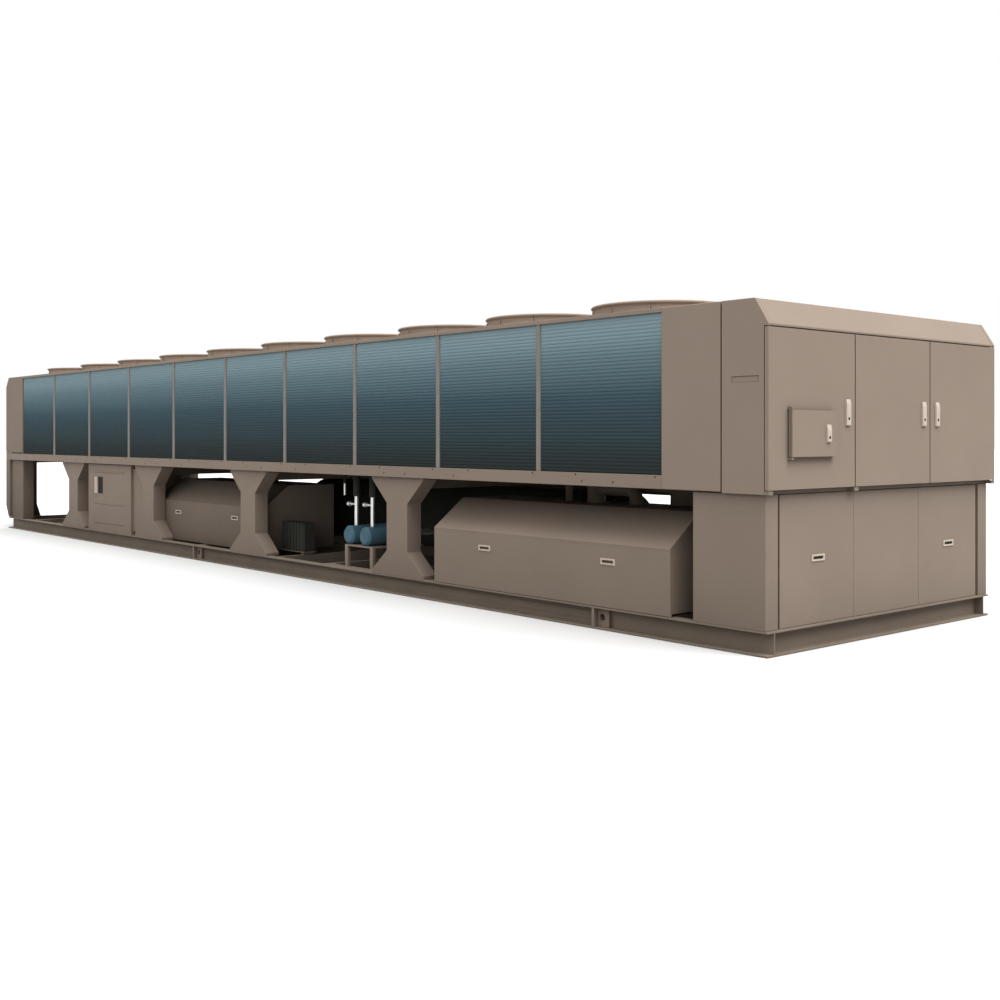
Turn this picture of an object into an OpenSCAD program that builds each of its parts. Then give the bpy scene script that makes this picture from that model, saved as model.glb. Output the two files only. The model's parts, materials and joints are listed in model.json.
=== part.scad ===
// Air cooled water chiller on an open channel base. Hourglass legs carry a long condenser
// section with coil bays on both sides, two rows of fans stand on its deck, and a control
// cabinet with three doors closes one end.
// +X points to the control cabinet, the front long side faces -Y, +Z is up, and the origin
// lies on the ground at the middle of the base. Sizes are in millimetres.

/* [Overall] */
// Width of the base over its flanges
base_w = 2400; // [2200:10:2600]
// Height of the base
base_h = 140; // [110:5:180]
// Overhang of the condenser section beyond the base on each side
overhang = 30; // [20:1:60]
// Height of the underside of the condenser section
rail_z = 887; // [850:1:960]
// Height of the roof edge
roof_z = 1945; // [1880:1:2100]

/* [Coil bays] */
// Number of coil bays on each side
bay_count = 10; // [10:1:12]
// Distance from one coil bay to the next
bay_pitch = 1070; // [1040:5:1150]
// Length of the closed section at the tail end
tail_l = 609; // [500:1:800]
// Length of the plain panel beside the control cabinet
end_panel_l = 439; // [300:1:600]
// Height of the lower rail
rail_h = 81; // [60:1:110]
// Depth of the lower rail flanges
rail_depth = 100; // [80:5:140]
// Height of the top rail
top_rail_h = 26; // [20:1:40]
// Depth of the top rail flange
top_rail_depth = 80; // [60:5:120]
// Width of the dividers between coils
divider_w = 36; // [24:1:60]
// Depth of the dividers between coils
divider_depth = 60; // [40:5:90]
// Distance of the coil face behind the rail face
coil_inset = 14; // [8:1:30]
// Depth of the coil block
coil_t = 120; // [80:5:160]
// Distance from one tube row to the next
row_pitch = 22.6; // [18:0.1:40]
// Depth of the grooves between the tube rows
row_depth = 3; // [2:0.5:10]

/* [Fans] */
// Distance of each fan row from the side of the condenser section
fan_edge = 610; // [590:5:640]
// Outer radius of the shroud lip
shroud_r = 462; // [400:5:480]
// Height of the shroud above the deck
shroud_h = 93; // [60:1:140]
// Depth of the shroud below the deck
shroud_drop = 60; // [40:5:100]
// Number of segments in one shroud
shroud_parts = 5; // [4:1:8]
// Number of blades on one fan
blade_count = 5; // [4:1:7]
// Pitch angle of the blades
blade_pitch = 26; // [15:1:35]
// Radius of the fan hub
hub_r = 95; // [70:5:130]
// Height of the fan hub
hub_h = 110; // [80:5:150]
// Number of spokes in one guard
guard_spokes = 8; // [6:1:12]
// Number of rings in one guard
guard_rings = 5; // [3:1:6]

/* [Control cabinet] */
// Depth of the control cabinet with its doors
cabinet_l = 321; // [260:1:400]
// Distance of the doors beyond the base end
door_overhang = 29; // [5:1:40]
// Thickness of the doors
door_t = 24; // [20:1:40]
// Gap between neighbouring doors
door_gap = 10; // [9:1:14]
// Run of the sloping hood
hood_run = 90; // [80:1:160]
// Height of the hood from its lip to the roof edge
hood_drop = 155; // [120:1:220]
// Height of the door handles above the cabinet floor
handle_z = 452; // [380:1:520]
// Width of the door handles
handle_w = 42; // [30:1:60]
// Length of the door handles
handle_l = 152; // [120:1:200]

/* [Legs and bays] */
// Leg positions counted in coil bays from the tail end
leg_at = [1.5, 3.4, 5.36, 7.5];
// Width of a leg at its head and foot
leg_w = 660; // [560:10:760]
// Width of a leg at its waist
leg_waist = 264; // [200:2:340]
// Depth of a leg
leg_depth = 130; // [100:5:180]
// Length of the compressor enclosures
encl_l = 2250; // [2000:10:2400]
// Depth of the compressor enclosures
encl_depth = 750; // [650:10:850]
// Height of the compressor enclosures above the base
encl_h = 603; // [560:1:660]
// Height of the upright front of the compressor enclosures above the base
encl_front_h = 398; // [360:1:440]
// Centres of the two compressor enclosures in coil bays from the tail end
encl_at = [8.985, 4.35];
// Setback of the two compressor enclosures from the base edge
encl_back = [0, 135];
// Width of the junction box
box_w = 1150; // [900:10:1200]
// Radius of the evaporator shell
evap_r = 300; // [240:5:310]
// Length of the evaporator
evap_l = 4430; // [4200:10:4800]
// Start of the evaporator in coil bays from the tail end
evap_at = 4.253; // [4.2:0.01:4.4]

/* [Hidden] */
$fn = 48;
eps = 1;
paint = [0.60, 0.54, 0.48];
paint_dark = [0.46, 0.41, 0.36];
silver = [0.80, 0.80, 0.78];
black = [0.10, 0.10, 0.11];

// Lengths along the object
coils_l = bay_count * bay_pitch;
base_l = tail_l + coils_l + end_panel_l + cabinet_l - door_overhang;
x_head = base_l / 2;
x_tail = -base_l / 2;
coil_x0 = x_tail + tail_l;
coil_x1 = coil_x0 + coils_l;
cab_x0 = coil_x1 + end_panel_l;
cab_x1 = cab_x0 + cabinet_l;

// Sheet and section sizes
flange_w = 60;
flange_t = 12;
web_t = 8;
panel_t = 25;
leg_t = 8;
rail_t = 6;
floor_t = 6;
deck_t = 12;
fit_gap = 0.3;
base_y = base_w / 2;
upper_w = base_w + 2 * overhang;
upper_y = upper_w / 2;
inner_y = upper_y - panel_t;
web_y = base_y - flange_w;
clear_y = web_y - web_t;

// Base members
cross_count = 15;
cross_h = 100;
cross_flange = 50;
cross_step = base_l / (cross_count + 1);
cross_xs = [for (i = [1 : cross_count]) x_tail + i * cross_step];
anchor_r = 11;
anchor_outer = base_l * 0.47;
anchor_inner = base_l * 0.16;
lug_at = [4.4, 9.49];
lug_w = 120;
lug_t = 25;
lug_bore_r = 22.5;
lug_web_r = 26;
lug_bar_t = 22;

// Coil levels
coil_z0 = rail_z + rail_h;
coil_z1 = roof_z - top_rail_h;
deck_z0 = coil_z1 + rail_t;
deck_z = deck_z0 + deck_t;
divider_inset = 4;
row_h = 18;

// Legs and ties
leg_run = (leg_w - leg_waist) / 2;
leg_foot_h = 25;
leg_foot_rise = 160;
leg_head_h = 18;
leg_head_rise = 182;
leg_xs = [for (b = leg_at) coil_x0 + b * bay_pitch];
tie_w = 60;
tie_h = 87;
tie_t = 6;
post_w = 553;
post_side_w = 364;
post_flare = 50;
post_flare_h = 160;
post_cover_w = 140;
post_cover_lift = 10;
post_cut = 100;
post_cut_h = 160;
tail_run = 96;
tail_drop = 120;
tail_lip_z = roof_z - tail_drop;
slit_l = 356;
slit_h = 14;
slit_edge = 33;
slit_x1 = coil_x0 - slit_edge;
tail_beam_w = 60;
tail_beam_h = 45;

// Fans
wall_t = 6;
throat_r = shroud_r - 22;
lip_h = 12;
flange_r = throat_r + 42;
seam_gap = 2;
seam_turn = 15;
rib_inset = 1;
rib_t = 8;
rib_r = throat_r + 16;
rib_top = shroud_h - 2.5 * lip_h;
guard_t = 8;
guard_wire = 8;
guard_outer_r = throat_r - fit_gap;
guard_hub_r = 100;
guard_recess = 15;
guard_z = deck_z + shroud_h - guard_recess - guard_t;
blade_tip_r = throat_r - 22;
blade_t = 6;
blade_camber_r = 420;
fan_xs = [for (i = [0 : bay_count - 1]) coil_x0 + (i + 0.5) * bay_pitch];
fan_y = upper_y - fan_edge;

// Control cabinet
groove = 10;
cab_in_x = cab_x0 + groove / 2;
door_seat = 6;
door_x0 = cab_x1 - door_t;
jamb_x1 = door_x0 - door_seat;
jamb_d = 40;
jamb_w = 60;
cab_z0 = rail_z - 7;
cab_floor_t = 20;
cab_floor_z = cab_z0 + cab_floor_t;
cab_back_t = 15;
lip_z = roof_z - hood_drop;
hood_lip = 12;
hood_t = 20;
header_h = 25;
hood_top_x = cab_x1 - hood_run;
door_clear = 5;
door_z0 = cab_floor_z + door_clear;
door_z1 = lip_z - door_clear;
door_w = (upper_w - 2 * door_gap) / 3;
pivot_edge = 8;
pivot_r = 5;
pivot_l = 30;
pivot_fit = 0.2;
pivot_x = cab_x1 - pivot_edge;
left_pivot_y = -upper_y + pivot_edge;
middle_pivot_y = -door_w / 2 + pivot_edge;
right_pivot_y = upper_y - pivot_edge;
handle_t = 12;
handle_slope = 28;
handle_foot = 6;
handle_edge = 74;
handle_mid = cab_z0 + handle_z;
keyhole_r = 6;
keyhole_depth = 8;
keyhole_at = 0.27;
recess_edge = 68;
recess_l = 182;
recess_z = cab_z0 + 611;
recess_h = 32;
recess_t = 3;

// Access cover on the left door
cover_w = 418;
cover_h = 257;
cover_t = 25;
cover_gap = 6;
cover_y0 = -upper_y + 170;
cover_z0 = cab_z0 + 203;
cover_x0 = cab_x1 + cover_gap;
cover_x1 = cover_x0 + cover_t;
cover_edge = 5;
cover_pin_r = 2.5;
cover_pin_l = 24;
cover_pivot_x = cover_x1 - cover_edge;
cover_pivot_y = cover_y0 + cover_edge;
ear_w = 14;
ear_t = 10;
latch_w = 38;
latch_l = 100;
latch_edge = 84;

// Lower cabinet under the control cabinet
lower_l = 506;
lower_end = 13;
lower_x1 = x_head - lower_end;
lower_x0 = lower_x1 - lower_l;
lower_return = 110;
lower_gap = 3;
trim_gap = 22;
lower_set = 5;
floor_x1 = lower_x1 - lower_set;
tab_w = 40;
lower_top = cab_z0;
lower_panel_w = (base_w - 2 * lower_return - 2 * trim_gap - 2 * lower_gap) / 3;

// Enclosures
encl_z0 = base_h + 15;
encl_skirt_z = base_h + 2;
encl_skirt_t = 20;
encl_front_z = base_h + encl_front_h;
encl_top_z = base_h + encl_h;
encl_slope = 265;
encl_pull_offs = [[-556, 624], [-590, 590]];
encl_pull_z = base_h + 286;
pad_w = 80;

// Recessed pulls
pull_w = 122;
pull_h = 38;
pull_t = 5;
pull_slot_w = 98;
pull_slot_h = 18;
pull_depth = 18;
lower_pull_z = base_h + 371;

// Junction box
box_shift = 16;
box_x = (leg_xs[0] + leg_xs[1]) / 2 + box_shift;
box_front_t = 35;
box_depth = 325;
box_lip = 10;
box_low = 50;
box_top_gap = 6;
box_rib_l = 790;
box_rib_h = 12;
box_rib_t = 4;
box_rib_zs = [90, 301, 650];
box_slot_w = 135;
box_slot_h = 185;
box_slot_z = 508;
box_slot_x = -236;
box_slot_t = 12;
box_slot_z0 = base_h + box_slot_z - box_slot_h / 2;
box_strip_w = 60;
box_strip_x = -345;
box_strip_t = 10;
filler_t = 8;

// Evaporator
evap_y = 400;
evap_lift = 10;
evap_z = base_h + evap_lift + evap_r;
evap_x0 = coil_x0 + evap_at * bay_pitch;
evap_flange_r = evap_r + 8;
evap_flange_t = 50;
evap_flat_r = evap_r - 70;
evap_dish = 60;
nozzle_r = 105;
nozzle_end = evap_r + 50;
nozzle_in = 300;
saddle_at = [7, 11];
saddle_t = 60;
saddle_w = 400;
saddle_h = 150;
pipe_r = 84;
pipe_bore_r = 77;
pipe_y1 = base_y - 50;
pipe_ring_r = 92;
pipe_ring_t = 15;
pipe_ring_back = 30;

// Driers and pipes
drier_r = 76;
drier_y0 = -base_y + 100;
drier_l = 480;
drier_round = 18;
drier_z = base_h + 254;
drier_xs = [coil_x0 + 6.737 * bay_pitch, coil_x0 + 6.952 * bay_pitch];
stand_t = 12;
stand_post_w = 40;
stand_post_d = 25;
stand_y0 = drier_y0 - 5;
stand_d = 500;
stand_over = [34, 131];
sill_w = 60;
sill_at = 9;
stem_r = 17;
stem_y = drier_y0 + 86;
stem_l = 311;
stem_top = drier_z + stem_l;
sleeve_r = 28;
valve_rise = 246;
valve_z = drier_z + valve_rise;
valve_l = 90;
valve_r = 9;
knob_r = 20;
knob_l = 26;
outlet_r = 16;
suction_r = 57;
suction_down = 170;
suction_z = encl_top_z - suction_down;
suction_in = [560, 330];
discharge_r = 62;
discharge_small_r = 24;
discharge_branch_r = 45;
discharge_off = -29;
discharge_small_off = -300;
discharge_branch_off = 340;
discharge_bend = 65;
discharge_rise = 95;
discharge_back = 190;

// Cable ducts
duct_w = 200;
duct_h = 78;
duct_clear = 10;
duct_lid_t = 6;
duct_lip = 6;
riser_off = 557;
riser_w = 240;
riser_d = 80;
riser_back = 20;
riser_branch_l = 248;
riser_branch_h = 68;

// Centre of an enclosure along the object
function encl_x(i) = coil_x0 + encl_at[i] * bay_pitch;

// Open channel with its flange tips at zero and its web at the far side
function channel_points(h, flange, ft, wt) = [
    [0, 0], [flange + wt, 0], [flange + wt, h], [0, h],
    [0, h - ft], [flange, h - ft], [flange, ft], [0, ft]
];

// Outline of a coil with a groove between neighbouring tube rows
function coil_points(h) =
    let (
        rows = floor(h / row_pitch),
        start = (h - rows * row_pitch) / 2
    ) concat(
        [[coil_t, 0], [row_depth, 0]],
        [
            for (i = [0 : rows - 1])
                let (mid = start + (i + 0.5) * row_pitch)
                each [
                    [row_depth, mid - row_h / 2], [0, mid - row_h / 4],
                    [0, mid + row_h / 4], [row_depth, mid + row_h / 2]
                ]
        ],
        [[row_depth, h], [coil_t, h]]
    );

// Outline of a tail post with its cut foot, drawn in by the inset
function post_points(inset) =
    let (slant = norm([post_cut, post_cut_h]))
    [
        [x_tail + post_cut + inset * (slant - post_cut) / post_cut_h, base_h + inset],
        [x_tail + post_w - inset, base_h + inset],
        [x_tail + post_w - inset, rail_z - inset],
        [x_tail + inset, rail_z - inset],
        [x_tail + inset, base_h + post_cut_h + inset * (slant - post_cut_h) / post_cut]
    ];

// Right half of a leg outline, drawn in by the inset
function leg_side(inset) =
    let (
        ft = inset * tan(atan(leg_run / leg_foot_rise) / 2),
        ht = inset * tan(atan(leg_run / leg_head_rise) / 2),
        wide = leg_w / 2 - inset,
        waist = leg_waist / 2 - inset,
        z1 = base_h + leg_foot_h,
        z2 = z1 + leg_foot_rise,
        z4 = rail_z - leg_head_h,
        z3 = z4 - leg_head_rise
    ) [
        [wide, base_h + inset], [wide, z1 - ft], [waist, z2 - ft],
        [waist, z3 + ht], [wide, z4 + ht], [wide, rail_z - inset]
    ];

// Whole leg outline
function leg_points(inset) =
    let (side = leg_side(inset))
    concat(side, [for (i = [len(side) - 1 : -1 : 0]) [-side[i][0], side[i][1]]]);

// Extrude a Y-Z outline along X from a start
module along_x(x0, length) {
    translate([x0, 0, 0])
        rotate([90, 0, 90])
            linear_extrude(length)
                children();
}

// Extrude an X-Z outline along Y from a start
module along_y(y0, length) {
    translate([0, y0 + length, 0])
        rotate([90, 0, 0])
            linear_extrude(length)
                children();
}

// Box from its low corner to its high corner
module block(low, high) {
    translate(low)
        cube(high - low);
}

// Rod along Y
module rod_y(r, x, y0, y1, z) {
    translate([x, y0, z])
        rotate([-90, 0, 0])
            cylinder(r = r, h = y1 - y0);
}

// Rod along X
module rod_x(r, x0, x1, y, z) {
    translate([x0, y, z])
        rotate([0, 90, 0])
            cylinder(r = r, h = x1 - x0);
}

// The piece and its mirror image on the back side
module both_sides() {
    children();
    mirror([0, 1, 0])
        children();
}

// One long rail with its anchor holes and lug openings
module base_rail() {
    difference() {
        along_x(x_tail, base_l)
            translate([-base_y, 0])
                polygon(channel_points(base_h, flange_w, flange_t, web_t));
        for (x = [-anchor_outer, -anchor_inner, anchor_inner, anchor_outer])
            translate([x, -base_y + flange_w / 2, -eps])
                cylinder(r = anchor_r, h = flange_t + 2 * eps);
        for (b = lug_at)
            rod_y(lug_web_r, coil_x0 + b * bay_pitch, -web_y - eps, -clear_y + eps, base_h / 2);
    }
}

module base_rails() {
    color(paint_dark)
        both_sides()
            base_rail();
}

module base_cross_members() {
    color(paint_dark) {
        along_y(-clear_y, 2 * clear_y)
            translate([x_tail, 0])
                polygon(channel_points(base_h, flange_w, flange_t, web_t));
        along_y(-clear_y, 2 * clear_y)
            translate([x_head, 0])
                mirror([1, 0])
                    polygon(channel_points(base_h, flange_w, flange_t, web_t));
        for (x = cross_xs)
            along_y(-clear_y, 2 * clear_y)
                translate([x - cross_flange / 2, base_h - cross_h])
                    polygon(channel_points(cross_h, cross_flange, web_t, web_t));
    }
}

// Lifting plate with its bore and the upright bar beside it
module lifting_lug(x) {
    difference() {
        union() {
            block([x - lug_w / 2, -web_y - lug_t, flange_t], [x + lug_w / 2, -web_y, base_h - flange_t]);
            block(
                [x - lug_w / 2, -base_y + 2, flange_t],
                [x - lug_w / 2 + lug_bar_t, -web_y, base_h - flange_t]
            );
        }
        rod_y(lug_bore_r, x, -web_y - lug_t - eps, -web_y + eps, base_h / 2);
    }
}

module lifting_lugs() {
    color(paint)
        both_sides()
            for (b = lug_at)
                lifting_lug(coil_x0 + b * bay_pitch);
}

// One hourglass leg of folded plate, open at its back
module leg(x) {
    translate([x, 0, 0])
        difference() {
            along_y(-base_y, leg_depth)
                polygon(leg_points(0));
            along_y(-base_y + leg_t, leg_depth)
                polygon(leg_points(leg_t));
        }
}

module front_legs() {
    color(paint)
        for (x = leg_xs)
            leg(x);
}

module back_legs() {
    color(paint)
        rotate([0, 0, 180])
            for (x = leg_xs)
                leg(-x);
}

// Corner post at the tail end with its flared end plate and its outer cover
module tail_post() {
    difference() {
        along_y(-base_y, leg_depth)
            polygon(post_points(0));
        along_y(-base_y + leg_t, leg_depth)
            polygon(post_points(leg_t));
    }
    along_x(x_tail, leg_t)
        polygon([
            [-base_y + leg_depth, base_h],
            [-base_y + post_side_w + post_flare, base_h],
            [-base_y + post_side_w, base_h + post_flare_h],
            [-base_y + post_side_w, rail_z],
            [-base_y + leg_depth, rail_z]
        ]);
    along_y(-upper_y, overhang)
        polygon([
            [x_tail + post_cut * (1 - post_cover_lift / post_cut_h), base_h + post_cover_lift],
            [x_tail + post_cover_w, base_h + post_cover_lift],
            [x_tail + post_cover_w, rail_z],
            [x_tail, rail_z],
            [x_tail, base_h + post_cut_h]
        ]);
}

module tail_posts() {
    color(paint)
        both_sides()
            tail_post();
}

module cross_ties() {
    color(paint_dark) {
        for (x = leg_xs)
            along_y(-base_y + leg_t, base_w - 2 * leg_t)
                translate([x - tie_w / 2, rail_z - leg_t - tie_h])
                    polygon(channel_points(tie_h, tie_w - tie_t, tie_t, tie_t));
        block(
            [x_tail, -base_y + post_side_w, rail_z - tail_beam_h],
            [x_tail + tail_beam_w, base_y - post_side_w, rail_z]
        );
    }
}

module lower_side_panels() {
    color(paint)
        both_sides()
            translate([0, 0, base_h])
                linear_extrude(lower_top - base_h)
                    polygon([
                        [lower_x0, -base_y], [lower_x1, -base_y],
                        [lower_x1, -base_y + lower_return],
                        [lower_x1 - panel_t, -base_y + lower_return],
                        [lower_x1 - panel_t, -base_y + panel_t],
                        [lower_x0, -base_y + panel_t]
                    ]);
}

// Low edge of one of the three end panels
function lower_panel_y(i) = -base_y + lower_return + trim_gap + i * (lower_panel_w + lower_gap);

module lower_end_panels() {
    color(paint)
        for (i = [0 : 2])
            difference() {
                block(
                    [lower_x1 - lower_set - panel_t, lower_panel_y(i), base_h],
                    [lower_x1 - lower_set, lower_panel_y(i) + lower_panel_w, lower_top - lower_gap]
                );
                if (i != 1)
                    pull_pocket_x(lower_x1 - lower_set, lower_panel_y(i) + lower_panel_w / 2);
            }
}

// Pocket behind a pull on an end face
module pull_pocket_x(x, y) {
    translate([x - pull_depth, y - pull_slot_w / 2, lower_pull_z - pull_slot_h / 2])
        cube([pull_depth + eps, pull_slot_w, pull_slot_h]);
}

// Pocket behind a pull on a front face
module pull_pocket_y(x, y, z) {
    translate([x - pull_slot_w / 2, y - eps, z - pull_slot_h / 2])
        cube([pull_slot_w, pull_depth + eps, pull_slot_h]);
}

module lower_back_panel() {
    color(paint)
        block(
            [lower_x0, -base_y + panel_t, base_h],
            [lower_x0 + panel_t, base_y - panel_t, lower_top]
        );
}

module lower_rails() {
    color(paint)
        both_sides()
            along_x(x_tail, coil_x1 - x_tail)
                translate([-upper_y, rail_z])
                    polygon([
                        [0, 0], [rail_depth, 0], [rail_depth, rail_t], [rail_t, rail_t],
                        [rail_t, rail_h - rail_t], [rail_depth, rail_h - rail_t],
                        [rail_depth, rail_h], [0, rail_h]
                    ]);
}

module top_rails() {
    color(paint)
        both_sides()
            along_x(coil_x0, coils_l)
                translate([-upper_y, coil_z1])
                    polygon([
                        [0, 0], [top_rail_depth, 0], [top_rail_depth, rail_t],
                        [rail_t, rail_t], [rail_t, top_rail_h], [0, top_rail_h]
                    ]);
}

// Low edge of a divider
function divider_x(i) = coil_x0 + i * bay_pitch - divider_w / 2;

// Ends of a coil between its dividers or at the end panels
function coil_low(i) = i == 0 ? coil_x0 : divider_x(i) + divider_w;
function coil_high(i) = i == bay_count - 1 ? coil_x1 : divider_x(i + 1);

module coil_dividers() {
    color(paint)
        both_sides()
            for (i = [1 : bay_count - 1])
                block(
                    [divider_x(i), -upper_y + divider_inset, coil_z0],
                    [divider_x(i) + divider_w, -upper_y + divider_inset + divider_depth, coil_z1]
                );
}

module coil_row() {
    for (i = [0 : bay_count - 1])
        along_x(coil_low(i), coil_high(i) - coil_low(i))
            translate([-upper_y + coil_inset, coil_z0])
                polygon(coil_points(coil_z1 - coil_z0));
}

module front_coils() {
    color([0.38, 0.46, 0.49])
        coil_row();
}

module back_coils() {
    color([0.38, 0.46, 0.49])
        mirror([0, 1, 0])
            coil_row();
}

module plenum_floor() {
    color(paint_dark)
        block(
            [x_tail + panel_t, -upper_y + rail_t, rail_z + rail_t],
            [coil_x1, upper_y - rail_t, rail_z + rail_t + floor_t]
        );
}

module coil_end_panels() {
    color(paint)
        both_sides()
            block([coil_x1, -upper_y, rail_z], [cab_x0 - groove / 2, -inner_y, roof_z]);
}

module tail_side_panels() {
    color(paint)
        both_sides()
            along_y(-upper_y, panel_t)
                polygon([
                    [x_tail, coil_z0],
                    [slit_x1 - slit_l, coil_z0], [slit_x1 - slit_l, coil_z0 + slit_h],
                    [slit_x1, coil_z0 + slit_h], [slit_x1, coil_z0],
                    [coil_x0, coil_z0], [coil_x0, roof_z],
                    [x_tail + tail_run, roof_z], [x_tail, tail_lip_z]
                ]);
}

module tail_end_cover() {
    color(paint)
        along_y(-inner_y, 2 * inner_y)
            polygon([
                [x_tail, coil_z0], [x_tail, tail_lip_z], [x_tail + tail_run, roof_z],
                [coil_x0, roof_z], [coil_x0, roof_z - panel_t],
                [x_tail + tail_run + panel_t / 2, roof_z - panel_t],
                [x_tail + panel_t, tail_lip_z - panel_t / 2], [x_tail + panel_t, coil_z0]
            ]);
}

module fan_deck() {
    color(paint)
        for (x = fan_xs)
            difference() {
                block(
                    [x - bay_pitch / 2 + seam_gap / 2, -upper_y + rail_t, deck_z0],
                    [x + bay_pitch / 2 - seam_gap / 2, upper_y - rail_t, deck_z]
                );
                for (y = [-fan_y, fan_y])
                    translate([x, y, deck_z0 - eps])
                        cylinder(r = throat_r + wall_t + seam_gap, h = deck_t + 2 * eps);
            }
    color(paint)
        block(
            [coil_x1, -inner_y, deck_z0],
            [cab_x0 - groove / 2, inner_y, deck_z]
        );
}

// Outline of a shroud wall with its foot flange and its lip
module shroud_profile() {
    polygon([
        [throat_r, -shroud_drop], [throat_r + wall_t, -shroud_drop], [throat_r + wall_t, 0],
        [flange_r, 0], [flange_r, wall_t], [throat_r + wall_t, wall_t],
        [throat_r + wall_t, shroud_h - 2 * lip_h], [shroud_r, shroud_h - lip_h],
        [shroud_r, shroud_h - lip_h / 2], [shroud_r - lip_h / 2, shroud_h], [throat_r, shroud_h]
    ]);
}

// One segment of a shroud with a plate rib near each end and one at its middle
module shroud_part(turn) {
    seam_angle = seam_gap / throat_r * 180 / PI;
    span = 360 / shroud_parts - seam_angle;
    rib_r0 = throat_r + wall_t / 2;
    rotate([0, 0, turn]) {
        rotate_extrude(angle = span, $fn = 72)
            shroud_profile();
        for (a = [rib_inset, span / 2, span - rib_inset])
            rotate([0, 0, a])
                translate([rib_r0, -rib_t / 2, wall_t / 2])
                    cube([rib_r - rib_r0, rib_t, rib_top - wall_t / 2]);
    }
}

module shroud_row() {
    for (x = fan_xs)
        translate([x, -fan_y, deck_z])
            for (i = [0 : shroud_parts - 1])
                shroud_part(seam_turn + i * 360 / shroud_parts);
}

module front_shrouds() {
    color(paint)
        shroud_row();
}

module back_shrouds() {
    color(paint)
        mirror([0, 1, 0])
            shroud_row();
}

// Flat wire guard seated in the shroud just under its lip
module guard() {
    cylinder(r = guard_hub_r, h = guard_t);
    for (i = [1 : guard_rings])
        rotate_extrude($fn = 72)
            translate([guard_hub_r + i * (guard_outer_r - guard_hub_r) / guard_rings - guard_wire, 0])
                square([guard_wire, guard_t]);
    for (i = [0 : guard_spokes - 1])
        rotate([0, 0, i * 360 / guard_spokes])
            translate([guard_hub_r - guard_wire, -guard_wire / 2, 0])
                cube([guard_outer_r - guard_hub_r + guard_wire / 2, guard_wire, guard_t]);
}

module guard_row() {
    for (x = fan_xs)
        translate([x, -fan_y, guard_z])
            guard();
}

module front_guards() {
    color(black)
        guard_row();
}

module back_guards() {
    color(black)
        mirror([0, 1, 0])
            guard_row();
}

// One cambered blade, cut from a curved shell by its outline
module blade() {
    rotate([blade_pitch, 0, 0])
        intersection() {
            translate([0, 0, -blade_camber_r])
                rotate([0, 90, 0])
                    difference() {
                        cylinder(r = blade_camber_r, h = blade_tip_r, $fn = 96);
                        translate([0, 0, -eps])
                            cylinder(r = blade_camber_r - blade_t, h = blade_tip_r + 2 * eps, $fn = 96);
                    }
            translate([0, 0, -hub_h])
                linear_extrude(2 * hub_h)
                    polygon([
                        [hub_r * 0.7, -hub_r * 0.55], [blade_tip_r * 0.6, -blade_tip_r * 0.27],
                        [blade_tip_r * 0.93, -blade_tip_r * 0.22], [blade_tip_r * 0.97, 0],
                        [blade_tip_r * 0.91, blade_tip_r * 0.36], [blade_tip_r * 0.6, blade_tip_r * 0.26],
                        [hub_r * 0.7, hub_r * 0.5]
                    ]);
        }
}

// Fan with its motor hub hung under the guard
module fan() {
    translate([0, 0, -hub_h])
        cylinder(r = hub_r, h = hub_h);
    for (i = [0 : blade_count - 1])
        rotate([0, 0, i * 360 / blade_count])
            translate([0, 0, -hub_h / 2])
                blade();
}

module fan_row() {
    for (x = fan_xs)
        translate([x, -fan_y, guard_z])
            fan();
}

module front_fans() {
    color(black)
        fan_row();
}

module back_fans() {
    color(black)
        translate([0, 2 * fan_y, 0])
            fan_row();
}

module cabinet_sides() {
    color(paint)
        both_sides()
            difference() {
                along_y(-upper_y, panel_t)
                    polygon([
                        [cab_in_x, cab_z0], [jamb_x1, cab_z0], [jamb_x1, lip_z], [cab_x1, lip_z],
                        [cab_x1, lip_z + hood_lip], [hood_top_x, roof_z], [cab_in_x, roof_z]
                    ]);
                block(
                    [cab_in_x + recess_edge, -upper_y - eps, recess_z],
                    [cab_in_x + recess_edge + recess_l, -upper_y + recess_t, recess_z + recess_h]
                );
            }
}

module cabinet_back() {
    color(paint)
        block(
            [cab_in_x, -inner_y, cab_floor_z],
            [cab_in_x + cab_back_t, inner_y, roof_z - hood_t]
        );
}

// Floor with a tab under each door pin
module cabinet_floor() {
    color(paint)
        translate([0, 0, cab_z0])
            linear_extrude(cab_floor_t)
                polygon([
                    [cab_in_x, -inner_y], [jamb_x1, -inner_y], [jamb_x1, -upper_y],
                    [cab_x1, -upper_y], [cab_x1, -upper_y + tab_w], [floor_x1, -upper_y + tab_w],
                    [floor_x1, middle_pivot_y - tab_w / 2], [cab_x1, middle_pivot_y - tab_w / 2],
                    [cab_x1, middle_pivot_y + tab_w / 2], [floor_x1, middle_pivot_y + tab_w / 2],
                    [floor_x1, upper_y - tab_w], [cab_x1, upper_y - tab_w], [cab_x1, upper_y],
                    [jamb_x1, upper_y], [jamb_x1, inner_y], [cab_in_x, inner_y]
                ]);
}

module cabinet_jambs() {
    color(paint) {
        for (y = [-door_w / 2 - door_gap / 2, door_w / 2 + door_gap / 2])
            block(
                [jamb_x1 - jamb_d, y - jamb_w / 2, cab_floor_z],
                [jamb_x1, y + jamb_w / 2, lip_z]
            );
        both_sides()
            block(
                [jamb_x1 - jamb_d, -inner_y, cab_floor_z],
                [jamb_x1, -inner_y + jamb_d, lip_z]
            );
    }
}

module cabinet_hood() {
    color(paint)
        along_y(-inner_y, 2 * inner_y)
            polygon([
                [cab_in_x, roof_z], [hood_top_x, roof_z], [cab_x1, lip_z + hood_lip],
                [cab_x1, lip_z], [jamb_x1 - hood_t, lip_z], [jamb_x1 - hood_t, lip_z + header_h],
                [hood_top_x - hood_t / 2, roof_z - hood_t], [cab_in_x, roof_z - hood_t]
            ]);
}

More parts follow.
